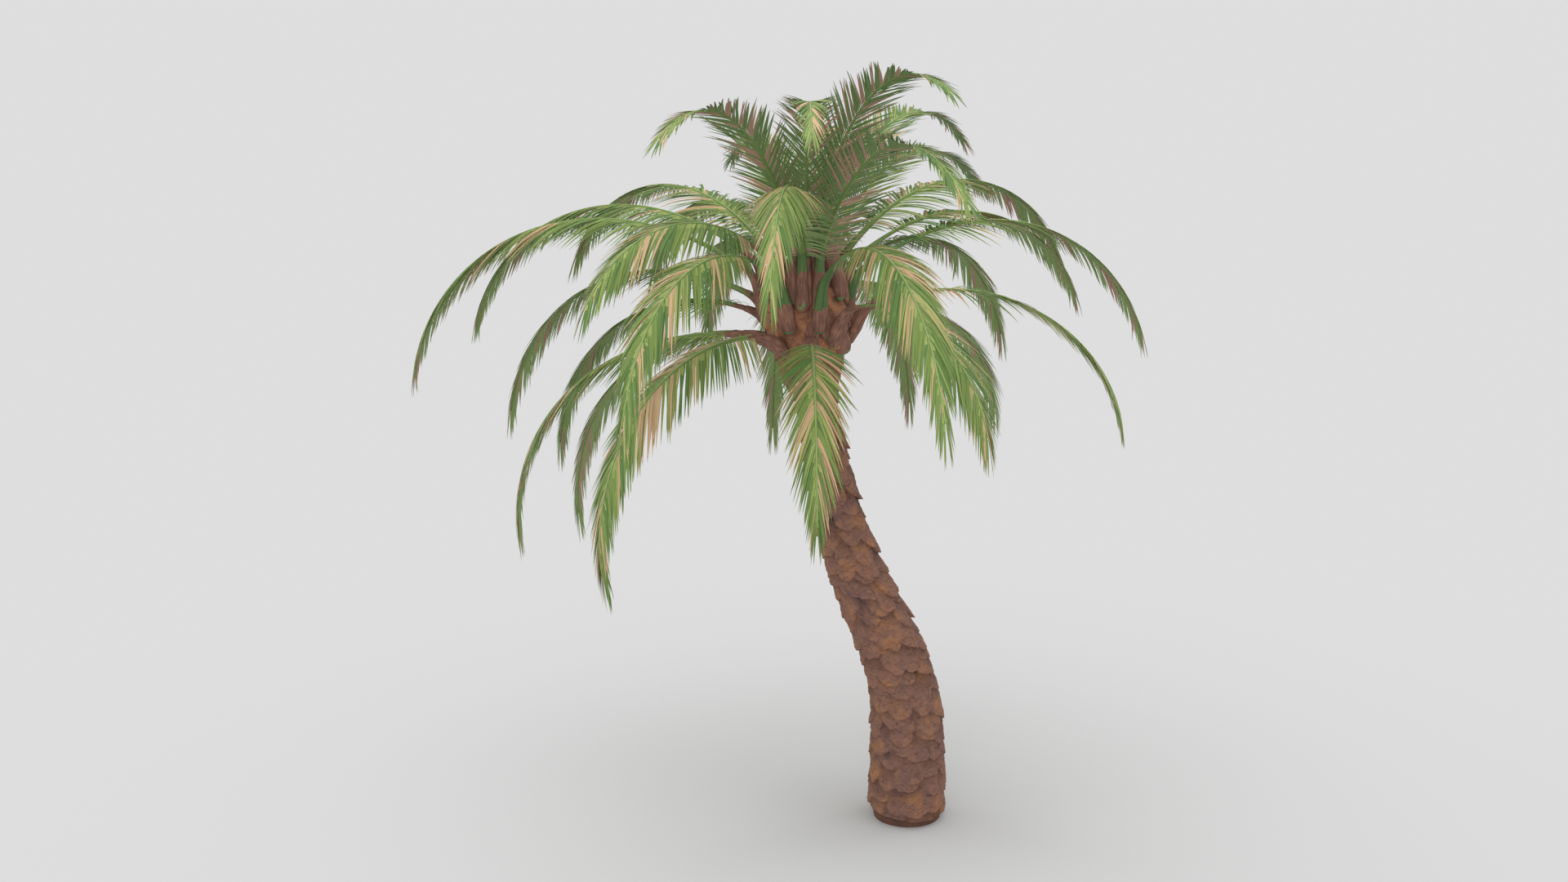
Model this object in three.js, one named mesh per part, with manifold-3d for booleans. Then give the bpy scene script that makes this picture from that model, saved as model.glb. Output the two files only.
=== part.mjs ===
// Date palm: a leaning trunk with cut leaf bases, a crown head and its arching fronds.
// Millimetres, +Z up. The origin is the centre of the flat cut under the trunk.
// The trunk leans towards -X and stays in the plane Y = 0.
import * as THREE from 'three';
import Module from 'manifold-3d';
import { mergeVertices } from 'three/addons/utils/BufferGeometryUtils.js';

const wasm = await Module();
wasm.setup();

// Driving dimensions of the trunk
const TRUNK_TOP = 3950;
const TRUNK_SIDES = 14;
// Centreline of the trunk as (x, z): upright at the foot, bent to the left, upright again
const TRUNK_LINE = [
  [0, 0], [-5, 700], [-30, 1100], [-125, 1470], [-290, 1850],
  [-445, 2200], [-590, 2630], [-690, 3050], [-785, 3540], [-865, TRUNK_TOP],
];
// Radius over the leaf bases as (z, radius), from the bare foot to the neck below the head
const TRUNK_RADIUS = [
  [0, 290], [80, 300], [110, 350], [500, 347], [1000, 327], [1750, 325],
  [2100, 300], [2630, 262], [3000, 235], [3540, 205], [3760, 228], [TRUNK_TOP, 285],
];
// The bare foot ends here, and the leaf bases begin
const FOOT_HEIGHT = 110;
// A leaf base's height, the rings that shape it, and how deep it steps in, as part of the radius
const BOOT_PITCH = 200;
const BOOT_RINGS = 3;
const BOOT_RELIEF = 0.09;

// Driving dimensions of the crown head
// Every joint between two pieces stays open by this much
const JOINT_GAP = 0.3;
const HEAD_SIDES = 20;
// Profile of the head's core as (radius, height above the trunk)
const HEAD_PROFILE = [[285, 0], [325, 140], [370, 330], [372, 520], [300, 690], [165, 800]];
// The stalks leave the head's axis between these two points, low ones first
const AXIS_LOW = new THREE.Vector3(-868, 0, 4092);
const AXIS_HIGH = new THREE.Vector3(-917, 0, 4687);
const LOWEST_RISE = 5;
const RISE_SPAN = 75;

// Driving dimensions of a frond, measured along its rib from the head's axis.
// Its length reaches to the tip of the last leaflet, and the rib ends a leaflet earlier.
const STUB_ROOT = 150;
const STALK_START = 620;
const STALK_SPANS = 2;
// Where the leaflets begin as (rise of the frond, distance): sooner on a level or steep frond
const LEAF_STARTS = [[18, 700], [28, 1050], [40, 1200], [48, 1100], [53, 700]];
// Each tooth of the blade stands for a group of leaflets on one side of the rib
const TOOTH_COUNT = 14;
const SPLIT_TOOTH = 5;
// A rib bends most near its tip, because the bend grows with this power of the length
const RIB_EXPONENT = 1.35;
const RIB_STEPS = 120;
// Section of the stalk and rib as (part of the length, width, height)
const RIB_SECTION = [
  [0, 190, 100], [0.09, 140, 70], [0.15, 100, 50], [0.22, 66, 40], [0.3, 42, 30],
  [0.5, 28, 20], [1, 12, 10],
];
// Leaflet length along the blade as (part of the blade, part of the full length)
const LEAFLET_PROFILE = [[0, 0.8], [0.2, 0.92], [0.4, 1], [0.65, 0.95], [1, 0.55]];
// Length of the first leaflets as (rise of the frond, part of the full length)
const FIRST_LEAFLET = [[18, 0.65], [34, 0.3]];
// Where the profile holds in full as (rise of the frond, part of the blade)
const PROFILE_STARTS = [[37, 0.12], [39, 0.35], [41, 0.12]];
// Angle between a leaflet and the sideways direction, turned towards the tip
const FORWARD_ANGLE = [[0, 16], [0.2, 47], [0.5, 63], [0.8, 73], [1, 80]];
const TIP_LEAFLET = 300;
// Fronds stay this far apart, and a leaflet with no room is tried again at these lengths
const FROND_GAP = 2;
const LEAFLET_TRIES = [1, 0.8, 0.6, 0.42, 0.28];

// The crown: each frond is [azimuth, rise, length, droop, roll], with azimuth 0 towards +X.
// Droop is the angle of its leaflets below the rib's sides, and it is below 0 where they rise.
// The roll is how many degrees more its left leaflets droop, and its right ones less.
// Spears are the youngest: short, nearly upright and half folded, in the middle of the crown.
// Young fronds stand up with their leaflets raised, old ones bend and sag the most.
// The bend is in degrees, leaflet is the length of the longest ones, and tipDroop is the angle by
// which the last ones droop.
const CROWN = {
  spear: {
    bend: 60,
    sag: 0,
    leaflet: 400,
    tipDroop: 14,
    fronds: [
      [15, 78, 1800, -34, 0], [165, 80, 1800, -34, 0], [-25, 83, 1650, -34, 0],
      [-158, 85, 1650, -34, 0],
    ],
  },
  young: {
    bend: 100,
    sag: 0.08,
    leaflet: 450,
    tipDroop: 14,
    fronds: [
      [-110, 62, 3850, -22, -26], [-90, 61, 4100, -22, 0], [-71, 67, 3900, -22, 26],
      [-73, 54, 4200, -22, 26], [57, 54, 4050, -22, -24], [61, 60, 4300, -22, -22],
      [84, 60, 3900, -22, 5], [106, 62, 3300, -22, 22],
    ],
  },
  mature: {
    bend: 118,
    sag: 0.3,
    leaflet: 540,
    tipDroop: 36,
    fronds: [
      [-95, 52, 4000, 12, 2], [133, 50, 4100, -2, 8], [44, 49, 4450, -4, -8],
      [26, 41, 4400, -6, -8], [52, 38, 4050, 0, -8], [33, 46, 3800, -6, -8],
      [-129, 49, 3250, 12, 24], [-54, 28, 2950, 12, -14], [147, 29, 4400, 0, 8],
      [144, 22, 3950, 0, 8], [145, 11, 4000, 4, 8], [-89, 14, 2950, 8, 0],
      [-4, 29, 3450, -8, 0], [-75, 39, 4200, 12, -28], [38, 23, 3050, -4, -8],
      [96, 22, 4150, 10, 6], [118, 47, 4000, 6, 12], [108, 38, 4000, 8, -8],
      [69, 26, 4000, 8, 8], [84, 42, 4000, 8, -4], [170, 12, 3900, 4, 10],
    ],
  },
  old: {
    bend: 130,
    sag: 0.34,
    leaflet: 540,
    tipDroop: 36,
    fronds: [
      [168, 42, 4650, 8, 7], [158, 47, 4200, 8, 8], [-132, 15, 3700, 18, 16],
      [-117, 40, 3800, 18, 26],
    ],
  },
};
// Steeper fronds keep clear of the trunk in one piece
const WHOLE_ABOVE_RISE = 48;

// Blocks that stand for the trunk and the head where leaflets look for room
const GUARD_HEIGHT = 300;
const GUARD_SIDES = 8;
const GUARD_MARGIN = 1.1;

// Finish of each kind of piece as [colour, roughness]
const FINISHES = {
  trunk: [0x7d5643, 0.95],
  head: [0x86573f, 0.9],
  spear: [0x5f8441, 0.6],
  young: [0x567a3c, 0.6],
  mature: [0x648a45, 0.6],
  old: [0x6f8c42, 0.6],
};

// Vertices closer than this are one, and shorter lengths than the tiny one count as none
const MERGE_DISTANCE = 1e-3;
const TINY = 1e-4;
// Halvings that find a height along the trunk's centreline
const HALVINGS = 24;

const degrees = THREE.MathUtils.degToRad;
const DOWN = new THREE.Vector3(0, 0, -1);

// Value of a table of [position, value] rows at a position, with straight lines between rows
function along(table, position, column = 1) {
  let row = 1;
  while (row < table.length - 1 && table[row][0] < position) row += 1;
  const [before, after] = [table[row - 1], table[row]];
  const part = THREE.MathUtils.clamp((position - before[0]) / (after[0] - before[0]), 0, 1);
  return THREE.MathUtils.lerp(before[column], after[column], part);
}

function finish(name, geometry, kind) {
  const [colour, roughness] = FINISHES[kind];
  const material = new THREE.MeshStandardMaterial({ color: colour, roughness, metalness: 0 });
  const mesh = new THREE.Mesh(geometry, material);
  mesh.name = name;
  return mesh;
}

// Solids for joining: shared vertices merged, only positions left
function toSolid(geometry) {
  const bare = geometry.clone();
  bare.deleteAttribute('normal');
  bare.deleteAttribute('uv');
  const merged = mergeVertices(bare, MERGE_DISTANCE);
  return new wasm.Manifold(new wasm.Mesh({
    numProp: 3,
    vertProperties: new Float32Array(merged.attributes.position.array),
    triVerts: new Uint32Array(merged.index.array),
  }));
}

function fromSolid(solid) {
  const mesh = solid.getMesh();
  const geometry = new THREE.BufferGeometry();
  geometry.setAttribute('position', new THREE.BufferAttribute(mesh.vertProperties, 3));
  geometry.setIndex(new THREE.BufferAttribute(mesh.triVerts, 1));
  return geometry;
}

// Trunk: a lathed body with one ring of cut leaf bases above the other, then leaned

// Profile of the trunk as (radius, height): axis, bare foot, leaf bases, axis
function trunkProfile() {
  const count = Math.round((TRUNK_TOP - FOOT_HEIGHT) / BOOT_PITCH * BOOT_RINGS);
  const heights = [0, TRUNK_RADIUS[1][0]];
  for (let ring = 0; ring <= count; ring += 1) {
    heights.push(FOOT_HEIGHT + (TRUNK_TOP - FOOT_HEIGHT) * ring / count);
  }
  const profile = heights.map((z) => new THREE.Vector2(along(TRUNK_RADIUS, z), z));
  return [new THREE.Vector2(0, 0), ...profile, new THREE.Vector2(0, TRUNK_TOP)];
}

// A leaf base stands out furthest at its lower edge, and neighbouring columns are staggered
function bootRelief(ring, column) {
  const stagger = (column % 2) * Math.floor(BOOT_RINGS / 2);
  const part = (ring + stagger) % BOOT_RINGS / (BOOT_RINGS - 1);
  return 1 - BOOT_RELIEF * part;
}

const trunkLine = new THREE.CatmullRomCurve3(
  TRUNK_LINE.map(([x, z]) => new THREE.Vector3(x, 0, z)), false, 'centripetal');

// Offset of the centreline at a height, found by halving
function trunkShift(height) {
  let low = 0;
  let high = 1;
  for (let turn = 0; turn < HALVINGS; turn += 1) {
    const middle = (low + high) / 2;
    if (trunkLine.getPoint(middle).z < height) low = middle;
    else high = middle;
  }
  return trunkLine.getPoint(low).x;
}

function makeTrunk() {
  const profile = trunkProfile();
  const geometry = new THREE.LatheGeometry(profile, TRUNK_SIDES);
  geometry.rotateX(Math.PI / 2);
  const place = geometry.attributes.position;
  for (let i = 0; i < place.count; i += 1) {
    const ring = i % profile.length;
    const column = Math.floor(i / profile.length) % TRUNK_SIDES;
    const z = place.getZ(i);
    const isBoot = z >= FOOT_HEIGHT && ring < profile.length - 2;
    const scale = isBoot ? bootRelief(ring, column) : 1;
    place.setXYZ(i, place.getX(i) * scale + trunkShift(z), place.getY(i) * scale, z);
  }
  return finish('trunk', fromSolid(toSolid(geometry)), 'trunk');
}

// Fronds: every rib is a planar curve that leaves the head's axis and bends down

function makeRib([azimuth, rise, length, droop, roll], habit) {
  const start = AXIS_LOW.clone();
  const upwards = THREE.MathUtils.clamp((rise - LOWEST_RISE) / RISE_SPAN, 0, 1);
  start.lerp(AXIS_HIGH, upwards);
  const out = new THREE.Vector3(Math.cos(degrees(azimuth)), Math.sin(degrees(azimuth)), 0);
  const points = [start];
  for (let step = 0; step < RIB_STEPS; step += 1) {
    const slope = slopeAt((step + 0.5) / RIB_STEPS, rise, habit.bend);
    const next = points[step].clone();
    next.addScaledVector(out, Math.cos(slope) * length / RIB_STEPS);
    next.z += Math.sin(slope) * length / RIB_STEPS;
    points.push(next);
  }
  const side = new THREE.Vector3(-out.y, out.x, 0);
  const leafStart = along(LEAF_STARTS, rise);
  const leaflets = { first: along(FIRST_LEAFLET, rise), grownAt: along(PROFILE_STARTS, rise) };
  return { ...habit, out, side, rise, length, droop, roll, points, leafStart, leaflets };
}

function slopeAt(part, rise, bend) {
  return degrees(rise - bend * part ** RIB_EXPONENT);
}

// Place and directions of a rib at a distance from the head's axis
function ribFrame(rib, distance) {
  const step = Math.min(distance / rib.length * RIB_STEPS, RIB_STEPS - TINY);
  const before = Math.floor(step);
  const point = rib.points[before].clone().lerp(rib.points[before + 1], step - before);
  const slope = slopeAt(distance / rib.length, rib.rise, rib.bend);
  const tangent = rib.out.clone().multiplyScalar(Math.cos(slope));
  tangent.z += Math.sin(slope);
  const normal = new THREE.Vector3().crossVectors(tangent, rib.side);
  return { point, tangent, normal, side: rib.side };
}

// Four corners of the rib's section: upper left, upper right, lower right, lower left
function ribCorners(rib, distance) {
  const frame = ribFrame(rib, distance);
  const half = along(RIB_SECTION, distance / rib.length, 1) / 2;
  const rise = along(RIB_SECTION, distance / rib.length, 2) / 2;
  return [[1, 1], [-1, 1], [-1, -1], [1, -1]].map(([left, up]) => frame.point.clone()
    .addScaledVector(frame.side, left * half)
    .addScaledVector(frame.normal, up * rise));
}

// Tip of a leaflet: it leaves the rib sideways and forwards, and sags under its weight
function leafletTip(rib, distance, left, share) {
  const blade = (distance - rib.leafStart) / (rib.length - TIP_LEAFLET - rib.leafStart);
  const frame = ribFrame(rib, distance);
  const forward = degrees(along(FORWARD_ANGLE, blade));
  const droop = degrees(THREE.MathUtils.lerp(rib.droop + left * rib.roll, rib.tipDroop, blade ** 2));
  const heading = frame.tangent.clone().multiplyScalar(Math.sin(forward));
  heading.addScaledVector(frame.side, left * Math.cos(forward) * Math.cos(droop));
  heading.addScaledVector(frame.normal, -Math.cos(forward) * Math.sin(droop));
  heading.addScaledVector(DOWN, rib.sag).normalize();
  const grown = Math.min(blade / rib.leaflets.grownAt, 1);
  const size = THREE.MathUtils.lerp(rib.leaflets.first, along(LEAFLET_PROFILE, blade), grown);
  const reach = rib.leaflet * size * share;
  return frame.point.clone().addScaledVector(heading, reach);
}

// Convex blocks and the test that keeps one frond clear of the others

function makeBlock(first, second, owner) {
  const points = [...first, ...second];
  const edges = [];
  const normals = [];
  const count = first.length;
  for (let i = 0; i < count; i += 1) {
    const here = first[i];
    const next = first[(i + 1) % count];
    const far = second[i % second.length];
    edges.push(next.clone().sub(here), far.clone().sub(here));
    normals.push(next.clone().sub(here).cross(far.clone().sub(here)));
  }
  for (const ring of [first, second]) {
    if (ring.length < 3) continue;
    normals.push(ring[1].clone().sub(ring[0]).cross(ring[2].clone().sub(ring[0])));
  }
  return { points, edges, normals, owner, box: new THREE.Box3().setFromPoints(points) };
}

function gapAlong(axis, first, second) {
  const size = axis.length();
  if (size < TINY) return -Infinity;
  const spans = [first, second].map((block) => {
    const reach = block.points.map((point) => point.dot(axis) / size);
    return [Math.min(...reach), Math.max(...reach)];
  });
  return Math.max(spans[0][0] - spans[1][1], spans[1][0] - spans[0][1]);
}

function areClear(first, second, gap) {
  const faces = [...first.normals, ...second.normals];
  if (faces.some((axis) => gapAlong(axis, first, second) >= gap)) return true;
  return first.edges.some((edge) => second.edges.some(
    (other) => gapAlong(edge.clone().cross(other), first, second) >= gap));
}

function isFree(block, others) {
  const reach = block.box.clone().expandByScalar(FROND_GAP);
  return others.every((other) => other.owner === block.owner
    || !reach.intersectsBox(other.box) || areClear(block, other, FROND_GAP));
}

// Distances along a rib where its sections stand: the bare stalk, then one for each tooth
function ribStations(rib) {
  const stations = [STALK_START, (STALK_START + rib.leafStart) / 2];
  const blade = rib.length - TIP_LEAFLET - rib.leafStart;
  for (let tooth = 0; tooth <= TOOTH_COUNT; tooth += 1) {
    stations.push(rib.leafStart + blade * tooth / TOOTH_COUNT);
  }
  return stations;
}

function makeCrown() {
  const crown = [];
  for (const [age, { fronds, ...habit }] of Object.entries(CROWN)) {
    fronds.forEach((row, index) => {
      const rib = makeRib(row, habit);
      const stations = ribStations(rib);
      const name = `frond_${age}_${String(index + 1).padStart(2, '0')}`;
      crown.push({ name, age, rib, stations, tips: stations.map(() => [null, null]) });
    });
  }
  return crown;
}

// Every rib, leaf base and stretch of trunk is taken before the leaflets find their room
function takenBlocks(crown) {
  const blocks = [];
  for (const frond of crown) {
    const { rib, stations, name } = frond;
    for (let i = 0; i + 1 < stations.length; i += 1) {
      blocks.push(makeBlock(ribCorners(rib, stations[i]), ribCorners(rib, stations[i + 1]), name));
    }
    blocks.push(makeBlock(ribCorners(rib, STUB_ROOT), ribCorners(rib, STALK_START), 'head'));
  }
  for (let z = 0; z < TRUNK_TOP; z += GUARD_HEIGHT) {
    const top = Math.min(z + GUARD_HEIGHT, TRUNK_TOP);
    blocks.push(makeBlock(trunkGuard(z), trunkGuard(top), 'trunk'));
  }
  blocks.push(makeBlock(headGuard(0), headGuard(HEAD_PROFILE.length - 2), 'head'));
  return blocks;
}

function guardRing(x, z, radius) {
  return [...Array(GUARD_SIDES).keys()].map((side) => {
    const angle = side * 2 * Math.PI / GUARD_SIDES;
    const wide = radius * GUARD_MARGIN;
    return new THREE.Vector3(x + wide * Math.cos(angle), wide * Math.sin(angle), z);
  });
}

function trunkGuard(z) {
  return guardRing(trunkShift(z), z, along(TRUNK_RADIUS, z));
}

function headGuard(row) {
  const radius = Math.max(...HEAD_PROFILE.map((point) => point[0]));
  return guardRing(AXIS_HIGH.x, TRUNK_TOP + HEAD_PROFILE[row][1], radius);
}

// Leaflets are set from the tips of the fronds inwards, so that the outline comes first
function setLeaflets(crown) {
  const blocks = takenBlocks(crown);
  for (let tooth = TOOTH_COUNT - 1; tooth >= 0; tooth -= 1) {
    for (const frond of crown) {
      for (const left of [1, -1]) {
        const block = placeLeaflet(frond, tooth + STALK_SPANS, left, blocks);
        if (block) blocks.push(block);
      }
    }
  }
}

function placeLeaflet(frond, station, left, blocks) {
  const { rib, stations } = frond;
  const [near, far] = [stations[station], stations[station + 1]];
  const root = sideCorners(ribCorners(rib, near), ribCorners(rib, far), left);
  for (const share of LEAFLET_TRIES) {
    const tip = leafletTip(rib, (near + far) / 2, left, share);
    const block = makeBlock(root, [tip], frond.name);
    if (isFree(block, blocks)) {
      frond.tips[station][left > 0 ? 0 : 1] = tip;
      return block;
    }
  }
  return null;
}

// The side of a stretch of rib as four corners, seen from outside
function sideCorners(near, far, left) {
  return left > 0 ? [near[0], far[0], far[3], near[3]] : [near[1], near[2], far[2], far[1]];
}

// Triangles of the frond between two of its stations
function frondGeometry(frond, first, last, startShift) {
  const { rib, stations, tips } = frond;
  const triangles = [];
  const quad = (a, b, c, d) => triangles.push(a, b, c, a, c, d);
  const spike = (corners, tip) => corners.forEach((corner, i) => {
    triangles.push(corner, corners[(i + 1) % 4], tip);
  });
  const rings = stations.slice(first, last + 1).map((distance, i) => (
    ribCorners(rib, distance + (i === 0 ? startShift : 0))));
  for (let i = 0; i + 1 < rings.length; i += 1) {
    const [near, far] = [rings[i], rings[i + 1]];
    quad(near[0], near[1], far[1], far[0]);
    quad(near[3], far[3], far[2], near[2]);
    [1, -1].forEach((left, column) => {
      const side = sideCorners(near, far, left);
      const tip = tips[first + i][column];
      if (tip) spike(side, tip);
      else quad(...side);
    });
  }
  const start = rings[0];
  const end = rings[rings.length - 1];
  quad(start[0], start[3], start[2], start[1]);
  if (last === stations.length - 1) {
    const frame = ribFrame(rib, stations[last]);
    spike(end, frame.point.addScaledVector(frame.tangent, TIP_LEAFLET));
  } else {
    quad(...end);
  }
  return fromTriangles(triangles);
}

function fromTriangles(corners) {
  const geometry = new THREE.BufferGeometry().setFromPoints(corners);
  return mergeVertices(geometry, MERGE_DISTANCE);
}

// A frond that arches beside the trunk is two pieces that meet at its bend
function makeFrond(frond) {
  const last = frond.stations.length - 1;
  if (frond.rib.rise > WHOLE_ABOVE_RISE) {
    return [finish(frond.name, frondGeometry(frond, 0, last, 0), frond.age)];
  }
  const middle = STALK_SPANS + SPLIT_TOOTH;
  const inner = frondGeometry(frond, 0, middle, 0);
  const outer = frondGeometry(frond, middle, last, JOINT_GAP);
  return [
    finish(`${frond.name}_inner`, inner, frond.age),
    finish(`${frond.name}_outer`, outer, frond.age),
  ];
}

// Crown head: a core with one cut leaf base for each frond

function stubGeometry(rib) {
  const distances = [STUB_ROOT, (STUB_ROOT + STALK_START) / 2, STALK_START - JOINT_GAP];
  const rings = distances.map((distance) => ribCorners(rib, distance));
  const triangles = [];
  const quad = (a, b, c, d) => triangles.push(a, b, c, a, c, d);
  quad(rings[0][0], rings[0][3], rings[0][2], rings[0][1]);
  for (let i = 0; i + 1 < rings.length; i += 1) {
    const [near, far] = [rings[i], rings[i + 1]];
    quad(near[0], near[1], far[1], far[0]);
    quad(near[3], far[3], far[2], near[2]);
    quad(...sideCorners(near, far, 1));
    quad(...sideCorners(near, far, -1));
  }
  quad(...rings[2]);
  return fromTriangles(triangles);
}

function makeHead(crown) {
  const profile = HEAD_PROFILE.map(([radius, z]) => new THREE.Vector2(radius, z));
  profile.unshift(new THREE.Vector2(0, 0));
  profile.push(new THREE.Vector2(0, HEAD_PROFILE[HEAD_PROFILE.length - 1][1]));
  const core = new THREE.LatheGeometry(profile, HEAD_SIDES);
  core.rotateX(Math.PI / 2);
  core.translate(0, 0, TRUNK_TOP + JOINT_GAP);
  const place = core.attributes.position;
  const lean = (AXIS_HIGH.x - AXIS_LOW.x) / (AXIS_HIGH.z - AXIS_LOW.z);
  for (let i = 0; i < place.count; i += 1) {
    const shift = AXIS_LOW.x + lean * (place.getZ(i) - AXIS_LOW.z);
    place.setX(i, place.getX(i) + shift);
  }
  let head = toSolid(core);
  for (const frond of crown) head = head.add(toSolid(stubGeometry(frond.rib)));
  return finish('crown_head', fromSolid(head), 'head');
}

function makePalm() {
  const palm = new THREE.Group();
  const crown = makeCrown();
  setLeaflets(crown);
  palm.add(makeTrunk(), makeHead(crown));
  for (const frond of crown) palm.add(...makeFrond(frond));
  return palm;
}

export default makePalm();
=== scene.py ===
# %% [markdown]
# # A leaning date palm
# The palm has four kinds of parts. A trunk is clad in the stubs of cut fronds, a head of broad
# leaf bases sits on it, ribs arch out of the head, and each rib carries two rows of narrow leaflets.
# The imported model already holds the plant's size and the course of every frond, so this lesson
# repeats those rules in metres and carries them to the finer parts that show.

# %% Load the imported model
import math

import bmesh
import bpy
import numpy as np
from mathutils import Matrix, noise


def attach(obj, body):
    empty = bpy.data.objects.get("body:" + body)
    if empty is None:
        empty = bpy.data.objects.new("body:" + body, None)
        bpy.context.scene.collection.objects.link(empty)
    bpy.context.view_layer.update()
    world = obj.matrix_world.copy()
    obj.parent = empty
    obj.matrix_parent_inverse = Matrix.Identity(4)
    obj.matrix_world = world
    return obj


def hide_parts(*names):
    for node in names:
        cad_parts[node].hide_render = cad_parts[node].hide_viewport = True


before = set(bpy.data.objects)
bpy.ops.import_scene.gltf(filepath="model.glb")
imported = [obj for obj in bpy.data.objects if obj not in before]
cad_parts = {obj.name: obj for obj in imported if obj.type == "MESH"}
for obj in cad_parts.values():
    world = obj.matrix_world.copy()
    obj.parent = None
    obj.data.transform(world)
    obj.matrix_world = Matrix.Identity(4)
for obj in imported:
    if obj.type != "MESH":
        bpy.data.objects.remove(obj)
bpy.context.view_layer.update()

# %% [markdown]
# ## The plant's measures
# The trunk leans to the left in one plane. A crown row is the direction of a frond seen from
# above, the angle at which it leaves the head, and its length. The youngest fronds are the spears,
# which stand upright in the middle. Keeping the same few numbers as the solid model means that
# every piece falls where its solid is, with nothing to fit by eye.

# %% Measures of the trunk and the head
# A separate program worked out the trunk's line and radii and the ends of the head's axis, from
# edges read by eye off the photograph. They were then rounded, and some were changed.
TRUNK_TOP = 3.95
TRUNK_LINE = [
    (0, 0), (-0.005, 0.7), (-0.03, 1.1), (-0.125, 1.47), (-0.29, 1.85),
    (-0.445, 2.2), (-0.59, 2.63), (-0.69, 3.05), (-0.785, 3.54), (-0.865, TRUNK_TOP),
]
# Radius over the leaf bases as (height, radius)
TRUNK_RADIUS = [
    (0.11, 0.35), (0.5, 0.347), (1.0, 0.327), (1.75, 0.325), (2.1, 0.3), (2.63, 0.262),
    (3.0, 0.235), (3.54, 0.205), (3.76, 0.228), (TRUNK_TOP, 0.285),
]
FOOT_RADIUS = 0.29
FOOT_TOP = 0.1
HEAD_PROFILE = [(0, 0.285), (0.14, 0.325), (0.33, 0.37), (0.52, 0.372), (0.69, 0.3), (0.8, 0.165)]
AXIS_LOW = np.array([-0.868, 0, 4.092])
AXIS_HIGH = np.array([-0.917, 0, 4.687])
# The stalks leave the head's axis between these two points, low ones first, over this span of rises
LOWEST_RISE = 5
RISE_SPAN = 75

# %% Measures of a frond, along its rib from the head's axis
# Where the leaflets begin, for these rises of a frond. On the steep ones a few short leaflets stand
# further down than in the solid model, where that part of the stalk belongs to the head.
LEAF_STARTS = (0.7, 1.05, 1.2, 1.1, 0.5)
START_RISES = (18, 28, 40, 48, 53)
TIP_LEAFLET = 0.3
RIB_EXPONENT = 1.35
RIB_STEPS = 120
# Rib section as (part of the length, width, height)
RIB_SECTION = [
    (0, 0.19, 0.1), (0.09, 0.14, 0.07), (0.15, 0.1, 0.05), (0.22, 0.066, 0.04), (0.3, 0.042, 0.03),
    (0.5, 0.028, 0.02), (1, 0.012, 0.01),
]
LEAFLET_PROFILE = [(0, 0.8), (0.2, 0.92), (0.4, 1), (0.65, 0.95), (1, 0.55)]
# Length of the first leaflets by rise, and the part of the blade from which the profile holds
FIRST_LEAFLET = [(18, 0.65), (34, 0.3)]
PROFILE_STARTS = [(37, 0.12), (39, 0.35), (41, 0.12)]
FORWARD_ANGLE = [(0, 16), (0.2, 47), (0.5, 63), (0.8, 73), (1, 80)]
DOWN = np.array([0, 0, -1.0])

# %% The crown: for each age the habit of its fronds, and a row for each of them
# A habit is the bend in degrees over the whole rib, and the sag and the length of its leaflets,
# and the angle by which they droop at the tip of the frond
# A row holds azimuth, rise, length, droop of the leaflets, and how much more the left ones droop
# In most rows the first three were found by a separate program, which fitted the rib's rule to
# marks read by eye off the photograph. They were then rounded, and some were changed.
HABITS = {
    "spear": (60, 0, 0.4, 14), "young": (100, 0.08, 0.45, 14), "mature": (118, 0.3, 0.54, 36),
    "old": (130, 0.34, 0.54, 36),
}
CROWN = {
    "spear": [
        (15, 78, 1.8, -34, 0), (165, 80, 1.8, -34, 0), (-25, 83, 1.65, -34, 0),
        (-158, 85, 1.65, -34, 0),
    ],
    "young": [
        (-110, 62, 3.85, -22, -26), (-90, 61, 4.1, -22, 0), (-71, 67, 3.9, -22, 26),
        (-73, 54, 4.2, -22, 26), (57, 54, 4.05, -22, -24), (61, 60, 4.3, -22, -22),
        (84, 60, 3.9, -22, 5), (106, 62, 3.3, -22, 22),
    ],
    "mature": [
        (-95, 52, 4, 12, 2), (133, 50, 4.1, -2, 8), (44, 49, 4.45, -4, -8),
        (26, 41, 4.4, -6, -8), (52, 38, 4.05, 0, -8), (33, 46, 3.8, -6, -8),
        (-129, 49, 3.25, 12, 24), (-54, 28, 2.95, 12, -14), (147, 29, 4.4, 0, 8),
        (144, 22, 3.95, 0, 8), (145, 11, 4, 4, 8), (-89, 14, 2.95, 8, 0),
        (-4, 29, 3.45, -8, 0), (-75, 39, 4.2, 12, -28), (38, 23, 3.05, -4, -8),
        (96, 22, 4.15, 10, 6), (118, 47, 4, 6, 12), (108, 38, 4, 8, -8),
        (69, 26, 4, 8, 8), (84, 42, 4, 8, -4), (170, 12, 3.9, 4, 10),
    ],
    "old": [
        (168, 42, 4.65, 8, 7), (158, 47, 4.2, 8, 8), (-132, 15, 3.7, 18, 16),
        (-117, 40, 3.8, 18, 26),
    ],
}
print("Fronds", sum(len(rows) for rows in CROWN.values()))


# %% [markdown]
# ## Small helpers
# Three things come up again and again: reading a value off a table, turning the trunk's few
# centre points into a smooth line, and handing a finished mesh to the scene. A smooth line could
# be a Bezier curve with handles set by hand. A centripetal spline needs only the points it passes
# through and never overshoots, so it is the easier one to keep in step with the solid model.

# %% Values along a table, and the trunk's centre line
def along(table, position, column=1):
    rows = np.array(table, float)
    return np.interp(position, rows[:, 0], rows[:, column])


def unit(vectors):
    return vectors / np.linalg.norm(vectors, axis=-1, keepdims=True)


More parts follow.
